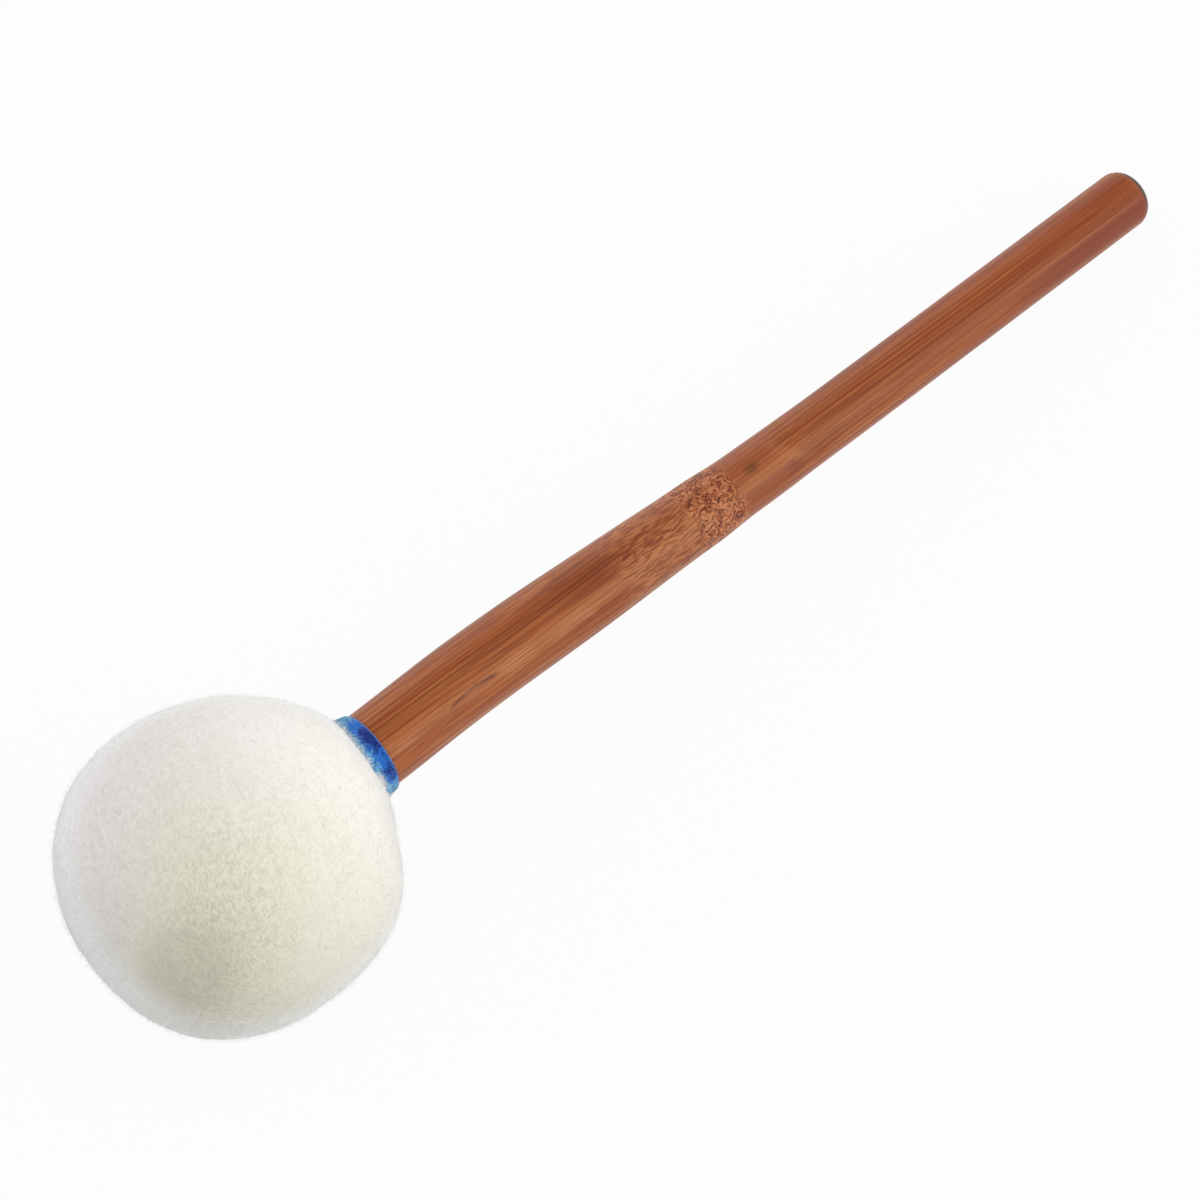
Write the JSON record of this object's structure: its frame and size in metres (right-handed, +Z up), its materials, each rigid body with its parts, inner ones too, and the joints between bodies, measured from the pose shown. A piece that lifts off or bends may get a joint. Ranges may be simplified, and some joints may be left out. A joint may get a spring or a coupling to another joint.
{
  "type": "bass drum mallet",
  "caption": "Soft drum mallet: a round wool felt head wound over a pinned wooden core, on a waisted and slightly bowed bamboo handle, with a blue felt band round the neck.",
  "frame": {"origin": "on the floor, under the middle of the whole mallet's bounding box, as it lies on its head and the edge of its butt", "axes": "+X from the head along the handle's run on the floor to the butt, +Z up, +Y to the left of someone who looks from the head to the butt"},
  "size_m": [0.3482, 0.0788, 0.0784],
  "materials": {
    "bamboo": "caramel bamboo under clear satin lacquer",
    "turned_wood": "bare turned beech",
    "firm_felt": "pressed grey-white wool felt",
    "soft_felt": "soft off-white wool felt with a fibrous nap",
    "waxed_thread": "waxed linen thread",
    "blue_felt": "mottled blue wool felt"
  },
  "bodies": {
    "root": {"handle": "bamboo", "head_core": "turned_wood", "core_pin": "turned_wood", "inner_felt_wrap": "firm_felt", "front_felt_disc": "firm_felt", "rear_felt_ring": "firm_felt", "felt_cover": "soft_felt", "gathering_thread": "waxed_thread", "neck_band": "blue_felt"}
  },
  "joints": []
}
